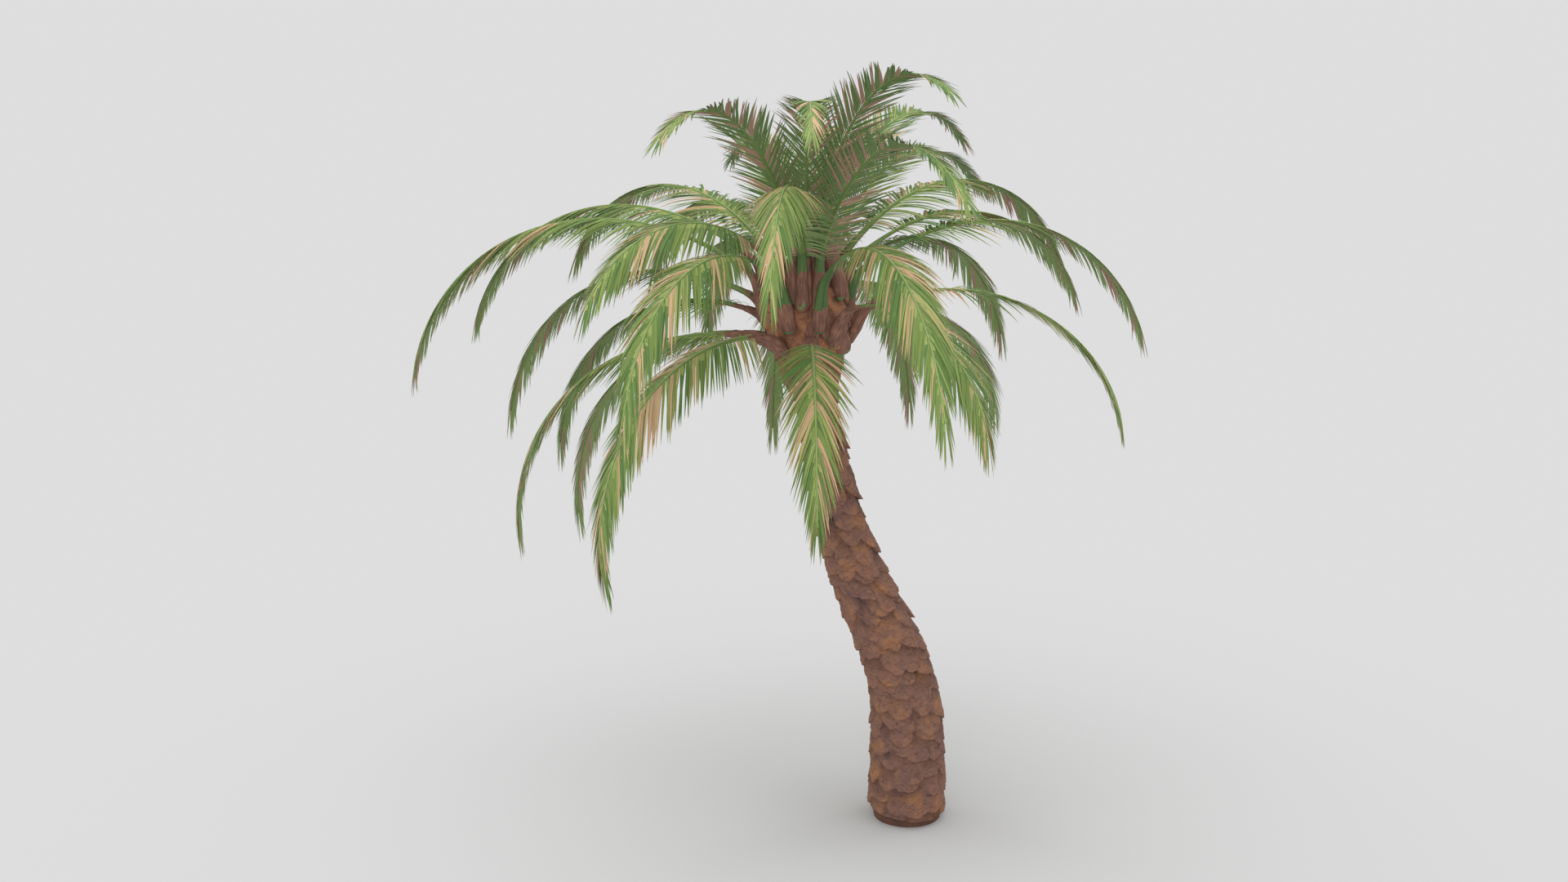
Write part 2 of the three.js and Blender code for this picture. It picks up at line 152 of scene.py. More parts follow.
def smooth_line(points, steps=40):
    """Samples a centripetal spline through the points."""
    spots = np.array(points, float)
    spots = np.vstack([2 * spots[0] - spots[1], spots, 2 * spots[-1] - spots[-2]])
    samples = []
    for a, b, c, d in zip(spots, spots[1:], spots[2:], spots[3:]):
        before, here, after = [math.sqrt(np.linalg.norm(q - p)) for p, q in ((a, b), (b, c), (c, d))]
        leave = ((b - a) / before - (c - a) / (before + here) + (c - b) / here) * here
        arrive = ((c - b) / here - (d - b) / (here + after) + (d - c) / after) * here
        t = np.linspace(0, 1, steps, endpoint=False)[:, None]
        samples.append(b + leave * t + (3 * (c - b) - 2 * leave - arrive) * t ** 2
                       + (2 * (b - c) + leave + arrive) * t ** 3)
    return np.vstack(samples + [spots[-2:-1]])


trunk_samples = smooth_line(TRUNK_LINE)


def trunk_shift(height):
    return np.interp(height, trunk_samples[:, 1], trunk_samples[:, 0])


print("Lean of the trunk at its top", round(float(trunk_shift(TRUNK_TOP)), 3), "m")


# %% Hand a bmesh to the scene as one piece
def new_piece(name, bm, nodes, materials, smooth=True):
    mesh = bpy.data.meshes.new(name)
    bm.to_mesh(mesh)
    bm.free()
    return register(name, mesh, nodes, materials, smooth)


def register(name, mesh, nodes, materials, smooth=True):
    for material in materials:
        mesh.materials.append(material)
    mesh.polygons.foreach_set("use_smooth", [smooth] * len(mesh.polygons))
    piece = bpy.data.objects.new(name, mesh)
    bpy.context.scene.collection.objects.link(piece)
    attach(piece, "root")
    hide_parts(*nodes)
    mesh.calc_loop_triangles()
    print(f"{name}: {len(mesh.vertices)} vertices, {len(mesh.loop_triangles)} triangles")
    return piece


def places(mesh):
    flat = np.empty(len(mesh.vertices) * 3)
    mesh.vertices.foreach_get("co", flat)
    return flat.reshape(-1, 3)


# %% [markdown]
# ## Materials
# Every finish is made of nodes, with no pictures. A material is a shader whose colour runs between
# a few tones by a noise pattern, and a bump from a finer one. Colours that must sit on certain
# leaflets are materials of their own, dealt out leaflet by leaflet later on.

# %% A few lines that make node trees short
def colour(red, green, blue):
    """A colour given as seen on a screen, 0 to 255, turned into the linear values of a shader."""
    return tuple((part / 255) ** 2.2 for part in (red, green, blue)) + (1,)


class Nodes:
    """One material's node tree, with short calls to add and link its nodes."""

    def __init__(self, name, roughness):
        self.material = bpy.data.materials.new(name)
        self.material.use_nodes = True
        self.tree = self.material.node_tree
        self.shader = self.tree.nodes["Principled BSDF"]
        self.shader.inputs["Roughness"].default_value = roughness
        self.shader.inputs["Specular IOR Level"].default_value = 0.25

    def add(self, kind, **settings):
        node = self.tree.nodes.new(kind)
        for key, value in settings.items():
            if key in node.inputs:
                node.inputs[key].default_value = value
            else:
                setattr(node, key, value)
        return node

    def link(self, source, target):
        self.tree.links.new(source, target)

    def coordinates(self, kind, scale):
        source = self.add("ShaderNodeTexCoord").outputs[kind]
        mapping = self.add("ShaderNodeMapping", Scale=scale)
        self.link(source, mapping.inputs["Vector"])
        return mapping.outputs["Vector"]

    def noise(self, where, scale, detail=6.0, distortion=0.0):
        node = self.add("ShaderNodeTexNoise", Scale=scale, Detail=detail, Distortion=distortion)
        self.link(where, node.inputs["Vector"])
        return node.outputs["Fac"]

    def ramp(self, factor, stops, smoothing="LINEAR"):
        node = self.add("ShaderNodeValToRGB")
        node.color_ramp.interpolation = smoothing
        steps = node.color_ramp.elements
        while len(steps) < len(stops):
            steps.new(0.5)
        for step, (position, shade) in zip(steps, stops):
            step.position = position
            step.color = shade
        self.link(factor, node.inputs["Fac"])
        return node.outputs["Color"]

    def multiply(self, first, second, amount=1.0):
        node = self.add("ShaderNodeMix", data_type="RGBA", blend_type="MULTIPLY")
        node.inputs["Factor"].default_value = amount
        self.link(first, node.inputs[6])
        self.link(second, node.inputs[7])
        return node.outputs[2]

    def bump(self, height, strength, distance):
        node = self.add("ShaderNodeBump", Strength=strength, Distance=distance)
        self.link(height, node.inputs["Height"])
        self.link(node.outputs["Normal"], self.shader.inputs["Normal"])

    def paint(self, source):
        self.link(source, self.shader.inputs["Base Color"])
        return self.material


# %% Bark: brown and violet-grey patches, painted shade where it lies deep and a painted highlight on the lips, scratched all over
def bark_material(name, tones):
    nodes = Nodes(name, 0.9)
    where = nodes.coordinates("Object", (1, 1, 1))
    patches = nodes.ramp(nodes.noise(where, 5.5, 7, 0.6), list(zip((0.28, 0.42, 0.56, 0.7), tones)))
    streaks = nodes.ramp(nodes.noise(nodes.coordinates("Object", (1, 1, 1.6)), 9, 9, 3.5), [
        (0.3, (0.66, 0.62, 0.64, 1)), (0.5, (1.0, 0.98, 0.97, 1)), (0.7, (1.2, 1.14, 1.04, 1)),
    ])
    depth = nodes.add("ShaderNodeAttribute", attribute_name="relief")
    # The relief paints shade into the hollows and a highlight onto the lips
    painted_shade_and_lip_highlight = nodes.ramp(depth.outputs["Fac"], [
        (0.0, (0.46, 0.44, 0.46, 1)), (0.22, (0.7, 0.67, 0.69, 1)),
        (0.45, (1.0, 0.98, 0.98, 1)), (0.95, (1.16, 1.1, 1.04, 1)),
    ])
    nodes.bump(nodes.noise(nodes.coordinates("Object", (1, 1, 2.2)), 22, 9, 3.0), 0.6, 0.014)
    return nodes.paint(nodes.multiply(nodes.multiply(patches, streaks), painted_shade_and_lip_highlight))


# %% Fibre of the leaf bases: short flecks and strands over purple-brown
def fibre_material(name, dark, middle, light, scale):
    nodes = Nodes(name, 0.85)
    strands = nodes.noise(nodes.coordinates("UV", scale), 1.0, 8, 0.35)
    tone = nodes.ramp(strands, [(0.3, dark), (0.5, middle), (0.72, light)])
    blotches = nodes.ramp(nodes.noise(nodes.coordinates("Object", (1, 1, 1)), 7, 5), [
        (0.35, (0.8, 0.78, 0.78, 1)), (0.65, (1.08, 1.04, 1.0, 1)),
    ])
    nodes.bump(strands, 0.5, 0.006)
    return nodes.paint(nodes.multiply(tone, blotches))


# %% Stalk and leaflets: one tone each, with light and dark streaks that run lengthwise
def streaked_material(name, tone, roughness, across, lengthwise, contrast):
    nodes = Nodes(name, roughness)
    streaks = nodes.noise(nodes.coordinates("UV", (across, lengthwise, 1)), 1.0, 4, 0.2)
    shades = [tuple(min(1, part * share) for part in tone[:3]) + (1,)
              for share in (1 - contrast, 1, 1 + contrast)]
    nodes.bump(streaks, 0.25, 0.002)
    return nodes.paint(nodes.ramp(streaks, list(zip((0.34, 0.5, 0.66), shades))))


# The underside tones hold painted shade, darker than the tops, and on the older fronds painted light,
# lighter than most tops
LEAF_TONES = {
    "leaf_green": colour(124, 146, 80),
    "leaf_deep": colour(100, 130, 72),
    "leaf_light": colour(154, 170, 98),
    "leaf_tan": colour(204, 172, 132),
    "leaf_dry_tip": colour(156, 120, 106),
    "underside_painted_shade": colour(110, 134, 88),
    "underside_painted_light": colour(136, 158, 102),
    "dry_underside_painted_shade": colour(168, 138, 120),
}
LEAF_KINDS = list(LEAF_TONES)
leaf_materials = [streaked_material(kind, tone, 0.6, 9, 1.4, 0.22) for kind, tone in LEAF_TONES.items()]
bark = bark_material("cut_leaf_base_bark", [
    colour(116, 92, 88), colour(132, 101, 90), colour(140, 106, 90), colour(160, 117, 86),
])
head_bark = bark_material("head_fibre_bark", [
    colour(122, 92, 80), colour(146, 106, 84), colour(162, 115, 86), colour(174, 126, 94),
])
fibre = fibre_material(
    "leaf_base_fibre", colour(104, 76, 68), colour(134, 99, 86), colour(162, 122, 102), (9, 8, 1))
foot_wood = fibre_material(
    "foot_core_wood", colour(98, 72, 62), colour(108, 80, 68), colour(118, 88, 74), (26, 3.5, 1))
stalk_green = streaked_material("stalk_green", colour(112, 136, 78), 0.5, 5, 0.8, 0.3)
stalk_deep = streaked_material("stalk_deep", colour(84, 110, 66), 0.5, 5, 0.8, 0.25)
# A lighter green for the rib's upper side: painted light
rib_top_painted_light = streaked_material("rib_top_painted_light", colour(150, 172, 104), 0.5, 5, 0.8, 0.2)
rim_green = streaked_material("rim_green", colour(96, 128, 78), 0.6, 5, 4, 0.3)
print("Materials", len(bpy.data.materials))


# %% [markdown]
# ## The trunk
# A date palm's trunk is hidden under the stubs of the fronds that were cut off. Each stub hangs
# over the one below like a roof tile, furthest out at its lower lip. Hundreds of separate stubs
# could be set round a post, but their hidden halves would cost most of the triangles. One skin
# that is spun from the trunk's profile and then pushed in and out by a formula shows the same
# steps, stays one closed mesh, and costs the same however many stubs there are.

# %% Spin a profile round the vertical axis
def spun(profile, steps):
    bm = bmesh.new()
    row = [bm.verts.new((radius, 0, height)) for radius, height in profile]
    edges = [bm.edges.new(pair) for pair in zip(row, row[1:])]
    bmesh.ops.spin(bm, geom=row + edges, axis=(0, 0, 1), cent=(0, 0, 0),
                   angle=math.tau, steps=steps, use_merge=True)
    bmesh.ops.remove_doubles(bm, verts=bm.verts, dist=1e-5)
    bmesh.ops.recalc_face_normals(bm, faces=bm.faces)
    return bm


# %% How far the stubs stand out at each point, from 0 in the joints to 1 on a lip
STUB_WIDTH = 0.205
STUB_PITCH = 0.135
STUB_LENGTH = 0.25
SPIRAL = 0.38
LIP_KNOTS = np.linspace(-1, 1, 7)
# How far the stubs stray from an even pattern: sideways as part of their spacing, and in height
STRAY_SIDEWAYS = 0.16
STRAY_IN_HEIGHT = 0.045
# Range of a stub's half width and length, as parts of the named ones, and how far it stands out
HALF_WIDTHS = (0.54, 0.78)
LENGTHS = (0.78, 1.2)
STRENGTHS = (0.55, 1.0)


def stub_relief(angle, height, radius_at, bottom, top, rng):
    relief = np.zeros_like(angle)
    level = bottom
    row = 0
    while level < top + STUB_LENGTH:
        radius = radius_at(level)
        count = max(5, round(math.tau * radius / STUB_WIDTH))
        for stub in range(count):
            stray = rng.uniform(-STRAY_SIDEWAYS, STRAY_SIDEWAYS)
            centre = (stub + SPIRAL * row + stray) * math.tau / count
            top_of_stub = level + rng.uniform(-STRAY_IN_HEIGHT, STRAY_IN_HEIGHT)
            one_stub(relief, angle - centre, top_of_stub - height, radius, rng)
        level += STUB_PITCH
        row += 1
    return relief


def one_stub(relief, turn, drop, radius, rng):
    """Raises the relief where this stub covers it: drop is the distance below the stub's top."""
    width = STUB_WIDTH * rng.uniform(*HALF_WIDTHS)
    length = STUB_LENGTH * rng.uniform(*LENGTHS)
    tilt = rng.uniform(-0.3, 0.3)
    strength = rng.uniform(*STRENGTHS)
    jags = rng.uniform(-0.08, 0.04, len(LIP_KNOTS))
    across = ((turn + math.pi) % math.tau - math.pi) * radius / width
    down = drop / length
    near = np.flatnonzero((np.abs(across) < 1) & (down > 0) & (down < 1.25))
    across, down = across[near], down[near]
    lip = 1 - 0.3 * np.abs(across) ** 2.3 + 0.4 * tilt * across + np.interp(across, LIP_KNOTS, jags)
    edge = np.clip((lip - down) / 0.04, 0, 1) * np.clip((1 - np.abs(across)) / 0.08, 0, 1)
    swell = (0.18 + 0.82 * down ** 1.4) * (1 - 0.2 * across ** 4 + tilt * across)
    relief[near] = np.maximum(relief[near], swell * edge * strength)


# %% The trunk's skin
RINGS_PER_METRE = 100
TRUNK_STEPS = 186
# Depth of the relief as (height, depth)
BARK_DEPTH = [(0.1, 0.03), (0.9, 0.036), (1.7, 0.062), (3.6, 0.066), (TRUNK_TOP, 0.05)]
LIP_SAG = 0.022
# The lowest stubs form a ragged skirt, which turns in under its edge and meets the foot
SKIRT_EDGE = 0.092
SKIRT_HEIGHT = 0.14
SKIRT_TUCK = [(-0.05, 0.03), (0.01, 0.012)]
FIRST_STUB = 0.08
CAP_RADIUS = 0.15
CAP_RISE = 0.01
# Points less than this far inside the outline belong to the skin, and the others have this relief, which
# the bark's material shows as painted shade
SKIN_DEPTH = 0.01
BARE_RELIEF = 0.1


def roughen(spots, size, amount):
    """A fractal offset for each spot, for the lumps that no rule describes."""
    return amount * np.array([noise.fractal(spot, 0.9, 2.1, 5) for spot in spots * size])


def trunk_profile():
    rings = round((TRUNK_TOP - SKIRT_EDGE) * RINGS_PER_METRE)
    heights = np.linspace(SKIRT_EDGE, TRUNK_TOP, rings)
    tuck = [(FOOT_RADIUS + outwards, SKIRT_EDGE + above) for outwards, above in SKIRT_TUCK]
    outside = [(float(along(TRUNK_RADIUS, height)), float(height)) for height in heights]
    cap = TRUNK_TOP + CAP_RISE
    return [(0.0, tuck[0][1])] + tuck + outside + [(CAP_RADIUS, cap), (0.0, cap)]


def shape_trunk(mesh, rng):
    spots = places(mesh)
    angle = np.arctan2(spots[:, 1], spots[:, 0])
    height = spots[:, 2].copy()
    reach = np.hypot(spots[:, 0], spots[:, 1])
    skin = reach > along(TRUNK_RADIUS, height) - SKIN_DEPTH
    relief = stub_relief(angle, height, lambda z: along(TRUNK_RADIUS, z),
                         SKIRT_EDGE + FIRST_STUB, TRUNK_TOP, rng)
    lumps = roughen(np.c_[np.cos(angle) * 0.35, np.sin(angle) * 0.35, height], 7, 0.011)
    grain = roughen(np.c_[np.cos(angle) * 0.9, np.sin(angle) * 0.9, height * 2.4], 13, 0.005)
    depth = along(BARK_DEPTH, height)
    offset = np.where(skin, depth * (relief - 1) + lumps + grain, 0)
    skirt = np.clip(1 - (height - SKIRT_EDGE) / SKIRT_HEIGHT, 0, 1)
    ragged = -0.022 * np.cos(angle + 1.1) - 0.012 * np.cos(2 * angle + 2.2) + 0.004 * np.sin(9 * angle)
    reach = reach + offset
    low_edge = ragged * skirt * (reach > FOOT_RADIUS - 0.02)
    height = height - LIP_SAG * relief ** 2 * skin * (1 - skirt) + low_edge
    moved = np.c_[np.cos(angle) * reach + trunk_shift(height), np.sin(angle) * reach, height]
    mesh.vertices.foreach_set("co", moved.ravel())
    keep_relief(mesh, skin, relief)
    return relief[skin]


def keep_relief(mesh, skin, relief):
    """Stores the relief on the mesh, where the bark's material reads it to paint shade in the hollows and
    a highlight on the lips.
    """
    shade = mesh.attributes.new("relief", "FLOAT", "POINT")
    shade.data.foreach_set("value", np.where(skin, relief, BARE_RELIEF).astype(np.float32))


trunk_bm = spun(trunk_profile(), TRUNK_STEPS)
trunk = new_piece("trunk_bark_skin", trunk_bm, ["trunk"], [bark])
trunk_relief = shape_trunk(trunk.data, np.random.default_rng(11))
print("Share of the bark that lies deep", round(float((trunk_relief < 0.35).mean()), 2))


# %% [markdown]
# ## The foot
# Under the lowest stubs the bare core of the trunk shows as a smooth dark disc. It is a short
# spun drum with a slightly rounded lower edge. Its flat underside is the cut at ground level.

# %% The bare core at ground level
def foot_profile():
    edge = 0.006
    return [(0, 0), (FOOT_RADIUS - edge, 0), (FOOT_RADIUS, edge), (FOOT_RADIUS + 0.004, 0.05),
            (FOOT_RADIUS - 0.01, FOOT_TOP + 0.02), (0, FOOT_TOP + 0.02)]


def wrap_uv(bm, around, upwards):
    """A map that runs round the axis and up it, for strands that follow the surface."""
    layer = bm.loops.layers.uv.new("UVMap")
    for face in bm.faces:
        base = math.atan2(*face.calc_center_median().yx)
        for loop in face.loops:
            x, y, z = loop.vert.co
            turn = (math.atan2(y, x) - base + math.pi) % math.tau - math.pi
            loop[layer].uv = ((base + turn) * around, z * upwards)


foot_bm = spun(foot_profile(), 96)
wrap_uv(foot_bm, 0.5, 1.0)
new_piece("trunk_foot_core", foot_bm, ["trunk"], [foot_wood], smooth=False)


# %% [markdown]
# ## Following a rib
# A frond's rib is a curve in one upright plane. Its slope starts at the rise and falls by more
# and more towards the tip. Summing short steps of that slope gives its places, and the same
# slope gives a direction, a side and an upper face at any distance. Everything on a frond,
# from its base to its last leaflet, is set by these four.

# %% The course of every rib
def make_rib(age, index, row):
    azimuth, rise, length, droop, roll = row
    bend, sag, leaflet, tip_droop = HABITS[age]
    angle = math.radians(azimuth)
    out = np.array([math.cos(angle), math.sin(angle), 0])
    upwards = min(max((rise - LOWEST_RISE) / RISE_SPAN, 0), 1)
    middles = (np.arange(RIB_STEPS) + 0.5) / RIB_STEPS
    slopes = np.radians(rise - bend * middles ** RIB_EXPONENT)
    step = length / RIB_STEPS
    return {
        "name": f"frond_{age}_{index:02d}", "age": age, "length": length, "rise": rise,
        "bend": bend, "sag": sag, "leaflet": leaflet,
        "droop": droop, "tip_droop": tip_droop, "roll": roll,
        "leaf_start": float(np.interp(rise, START_RISES, LEAF_STARTS)),
        "first_leaflet": float(along(FIRST_LEAFLET, rise)),
        "grown_at": float(along(PROFILE_STARTS, rise)),
        "start": AXIS_LOW + (AXIS_HIGH - AXIS_LOW) * upwards,
        "out": out, "side": np.array([-out[1], out[0], 0]),
        "run": np.append(0, np.cumsum(np.cos(slopes)) * step),
        "lift": np.append(0, np.cumsum(np.sin(slopes)) * step),
    }


def rib_frame(rib, distance):
    """Place, direction and upper side of a rib at an array of distances."""
    part = distance / rib["length"]
    run = np.interp(part * RIB_STEPS, np.arange(RIB_STEPS + 1), rib["run"])
    lift = np.interp(part * RIB_STEPS, np.arange(RIB_STEPS + 1), rib["lift"])
    slope = np.radians(rib["rise"] - rib["bend"] * part ** RIB_EXPONENT)[..., None]
    point = rib["start"] + run[..., None] * rib["out"] - lift[..., None] * DOWN
    tangent = np.cos(slope) * rib["out"] - np.sin(slope) * DOWN
    return point, tangent, np.cross(tangent, rib["side"])


ribs = [make_rib(age, index + 1, row) for age, rows in CROWN.items() for index, row in enumerate(rows)]


def nodes_of(group):
    return sorted(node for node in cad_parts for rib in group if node.startswith(rib["name"]))


print("Ribs", len(ribs), "for", len(nodes_of(ribs)), "solids")


# %% [markdown]
# ## One shape, many copies
# Ribs, leaf bases and leaflets are each one short tube that is repeated. The tube is a cone shape
# of equal ends, cut across by subdividing its long edges, and then laid along Y. Its copies are
# worked out as arrays: every corner of the tube is carried to its place in one go, and the whole
# lot becomes one mesh. Thousands of linked objects would look alike but would be slow to handle,
# and instances made by nodes would have to be turned into meshes in the end.

# %% A straight tube with rings, as arrays
def tube(sides, cuts, turn=0.0):
    bm = bmesh.new()
    bmesh.ops.create_cone(bm, cap_ends=True, segments=sides, radius1=0.5, radius2=0.5, depth=1.0,
                          matrix=Matrix.Rotation(math.radians(turn), 4, "Z"))
    long_edges = [edge for edge in bm.edges if abs(edge.verts[0].co.z - edge.verts[1].co.z) > 0.5]
    bmesh.ops.subdivide_edges(bm, edges=long_edges, cuts=cuts, use_grid_fill=True)
    bmesh.ops.translate(bm, verts=bm.verts, vec=(0, 0, 0.5))
    bmesh.ops.rotate(bm, verts=bm.verts, cent=(0, 0, 0),
                     matrix=Matrix.Rotation(math.radians(-90), 3, "X"))
    bm.verts.index_update()
    shape = {
        "corners": np.array([vert.co for vert in bm.verts]),
        "faces": [[vert.index for vert in face.verts] for face in bm.faces],
        "middles": np.array([face.calc_center_median() for face in bm.faces]),
    }
    bm.free()
    return shape


def joined(name, shape, copies, face_slots, uv, nodes, materials, smooth):
    """One mesh from copies of a shape: copies holds every copy's corners."""
    corners = len(shape["corners"])
    faces = [[corner + copy * corners for corner in face]
             for copy in range(len(copies)) for face in shape["faces"]]
    mesh = bpy.data.meshes.new(name)
    mesh.from_pydata(copies.reshape(-1, 3).tolist(), [], faces)
    mesh.polygons.foreach_set("material_index", np.asarray(face_slots, np.int32).ravel())
    loops = np.empty(len(mesh.loops), np.int32)
    mesh.loops.foreach_get("vertex_index", loops)
    layer = mesh.uv_layers.new(name="UVMap")
    layer.uv.foreach_set("vector", uv.reshape(-1, 2)[loops].astype(np.float32).ravel())
    mesh.update()
    return register(name, mesh, nodes, materials, smooth)


# %% Carry a tube along a rib
def along_rib(shape, rib, start, end, widths, heights):
    """Corners of the tube between two distances, with its width and height given by tables."""
    x, y, z = shape["corners"].T
    distance = start + (end - start) * y
    point, tangent, normal = rib_frame(rib, distance)
    width = np.interp(distance, *widths)
    height = np.interp(distance, *heights)
    return point - rib["side"] * (x * width)[:, None] + normal * (z * height)[:, None]


# %% [markdown]
# ## Ribs and stalks
# The part of a frond without leaflets is a smooth green stalk, brown and fibrous where it leaves
# the head. It runs on as the rib and thins to a thread. The brown part is given out ring by ring,
# at a slightly different distance on each frond, so that no two change colour at the same place.

# %% All ribs as one mesh
rib_shape = tube(10, 46)
RIB_START = 0.6
# Where the brown ends on the upper side of a stalk, and on its under side
BROWN_UNTIL = (0.72, 0.95)
# Steep fronds and a few of the others have a stalk that is dark green from the head on
STEEP_RISE = 50
GREEN_STALKS = {"frond_mature_14", "frond_mature_04", "frond_old_04"}
# Part of the rib's width that a stalk keeps, least on the steep fronds
STALK_WIDTHS = (0.85, 0.72)
# Beyond the first leaflets the upper side of the rib has painted light, above this part of its height
# from its middle
PAINTED_LIGHT_ABOVE = 0.3
RIB_GREEN, RIB_FIBRE, RIB_DEEP, RIB_TOP_PAINTED_LIGHT = range(4)


def stalk_width(rib):
    return STALK_WIDTHS[rib["rise"] >= STEEP_RISE]


def rib_tables(rib):
    parts, widths, heights = np.array(RIB_SECTION).T
    return (parts * rib["length"], widths * stalk_width(rib)), (parts * rib["length"], heights)


def rib_slots(rib, rng):
    upwards = rib_shape["middles"][:, 2]
    distance = RIB_START + (rib["length"] - TIP_LEAFLET - RIB_START) * rib_shape["middles"][:, 1]
    ragged = rng.uniform(-0.05, 0.05, len(distance)) + rng.uniform(-0.06, 0.1)
    leafy = distance > rib["leaf_start"] + ragged
    # The rib's upper side beyond the first leaflets gets painted light
    slots = np.where(leafy & (upwards > PAINTED_LIGHT_ABOVE), RIB_TOP_PAINTED_LIGHT, RIB_GREEN)
    if rib["green_stalk"]:
        return np.where(leafy, slots, RIB_DEEP)
    brown_until = np.where(upwards < 0, BROWN_UNTIL[1], BROWN_UNTIL[0])
    return np.where(distance < brown_until + ragged, RIB_FIBRE, slots)


rib_rng = np.random.default_rng(5)
rib_copies, rib_face_slots, rib_uv = [], [], []
for rib in ribs:
    rib["green_stalk"] = rib["rise"] >= STEEP_RISE or rib["name"] in GREEN_STALKS
    widths, heights = rib_tables(rib)
    rib_copies.append(along_rib(rib_shape, rib, RIB_START, rib["length"] - TIP_LEAFLET, widths, heights))
    rib_face_slots.append(rib_slots(rib, rib_rng))
    across = rib_shape["corners"][:, 0] + rib_shape["corners"][:, 2]
    rib_uv.append(np.c_[across + rib_rng.uniform(0, 50), rib_shape["corners"][:, 1] * rib["length"]])
joined("frond_ribs", rib_shape, np.array(rib_copies), rib_face_slots, np.array(rib_uv),
       nodes_of(ribs), [stalk_green, fibre, stalk_deep, rib_top_painted_light], smooth=True)

# %% [markdown]
# ## The head
# Where the fronds leave the trunk their bases are thick clubs that clasp each other. The core is
# spun like the trunk and gets the same stubs. On it sits one club for each frond, made from the
# same tube as the ribs: thick, rounded at its lower end, and curved outwards into the stalk.

# %% The core of the head
HEAD_STEPS = 120
HEAD_RINGS = 64
HEAD_HEIGHT = HEAD_PROFILE[-1][0]
HEAD_DEPTH = 0.05
HEAD_STUBS_FROM = 0.05
HEAD_STUB_RADIUS = 0.33


def head_profile():
    heights = np.linspace(0, HEAD_HEIGHT, HEAD_RINGS)
    rings = [(float(along(HEAD_PROFILE, height)), float(height)) for height in heights]
    return [(0, 0)] + rings + [(0, HEAD_HEIGHT)]


def shape_head(mesh, rng):
    spots = places(mesh)
    angle = np.arctan2(spots[:, 1], spots[:, 0])
    height = spots[:, 2]
    reach = np.hypot(spots[:, 0], spots[:, 1])
    skin = reach > along(HEAD_PROFILE, height) - SKIN_DEPTH
    relief = stub_relief(angle, height, lambda z: HEAD_STUB_RADIUS, HEAD_STUBS_FROM, HEAD_HEIGHT, rng)
    lumps = roughen(np.c_[np.cos(angle) * 0.4, np.sin(angle) * 0.4, height], 8, 0.012)
    reach = reach + np.where(skin, HEAD_DEPTH * (relief - 1) + lumps, 0)
    lean = (AXIS_HIGH[0] - AXIS_LOW[0]) / (AXIS_HIGH[2] - AXIS_LOW[2])
    height = height + TRUNK_TOP
    shift = AXIS_LOW[0] + lean * (height - AXIS_LOW[2])
    moved = np.c_[np.cos(angle) * reach + shift, np.sin(angle) * reach, height]
    mesh.vertices.foreach_set("co", moved.ravel())
    keep_relief(mesh, skin, relief)


head_bm = spun(head_profile(), HEAD_STEPS)
head = new_piece("crown_head_core", head_bm, ["crown_head"], [head_bark])
shape_head(head.data, np.random.default_rng(23))

# %% The shape of a leaf base: a club with a rounded lower end
base_shape = tube(14, 20)
# Width and thickness of a leaf base from its rounded lower end to the stalk, by part of its course
BASE_WIDTHS = [(0, 0.05), (0.03, 0.1), (0.1, 0.14), (0.35, 0.135), (0.65, 0.1), (1, 0.09)]
BASE_HEIGHTS = [(0, 0.03), (0.05, 0.08), (0.3, 0.12), (0.65, 0.08), (1, 0.056)]
# Height of the lower end by rise, and the distance along the rib at which a base ends
BASE_FEET = [(10, 4.1), (30, 4.2), (40, 4.28), (50, 4.42), (62, 4.52)]
BASE_END = 0.68
# How far the middle of a lower end lies under the head's outline, how steeply the base climbs
# from there, and how long each end of its course keeps its direction
FOOT_IN = 0.02
FOOT_CLIMB = 0.6
FOOT_PULL = 0.12
STALK_PULL = 0.16


def head_radius(height):
    return float(along(HEAD_PROFILE, height - TRUNK_TOP))


def head_axis(height):
    lean = (AXIS_HIGH - AXIS_LOW) / (AXIS_HIGH[2] - AXIS_LOW[2])
    return AXIS_LOW + lean * (height - AXIS_LOW[2])


def base_course(rib, end, shift):
    """Four points that bend a leaf base from its lower end on the head into its stalk."""
    low = float(along(BASE_FEET, rib["rise"])) + shift
    foot = head_axis(low) + rib["out"] * (head_radius(low) - FOOT_IN)
    point, tangent, _ = rib_frame(rib, np.array([end]))
    far = point[0]
    climb = unit(far - foot) - DOWN * FOOT_CLIMB
    return foot, foot + climb * FOOT_PULL, far - tangent[0] * STALK_PULL, far


def base_copy(rib, end, shift, wide):
    course = base_course(rib, end, shift)
    x, y, z = base_shape["corners"].T
    t = y[:, None]
    shares = [(1 - t) ** 3, 3 * t * (1 - t) ** 2, 3 * t ** 2 * (1 - t), t ** 3]
    point = sum(spot * share for spot, share in zip(course, shares))
    slopes = [(1 - t) ** 2, 2 * t * (1 - t), t ** 2]
    tangent = unit(sum((after - before) * share
                       for before, after, share in zip(course, course[1:], slopes)))
    normal = np.cross(tangent, rib["side"])
    width = along(BASE_WIDTHS, y) * (wide * (1 - y) + stalk_width(rib) * y)
    return point - rib["side"] * (x * width)[:, None] + normal * (z * along(BASE_HEIGHTS, y))[:, None]


# %% Colours of the leaf bases: brown fibre, a green rim on some, and green where a stalk begins
RIM_UNTIL = 0.07
GREEN_RIMS = 0.6
GREEN_SPECKS = 0.012
# Where the green of a stalk begins on its leaf base: higher on the steep ones
GREEN_FROM = (0.42, 0.6)
FIBRE_SLOT, STALK_SLOT, RIM_SLOT = range(3)


def base_slots(green_from, rng):
    part = base_shape["middles"][:, 1]
    slots = np.full(len(part), FIBRE_SLOT)
    slots[rng.random(len(part)) < GREEN_SPECKS] = RIM_SLOT
    slots[part > green_from + rng.uniform(-0.04, 0.04, len(part))] = STALK_SLOT
    if rng.random() < GREEN_RIMS:
        slots[part < RIM_UNTIL] = RIM_SLOT
    return slots


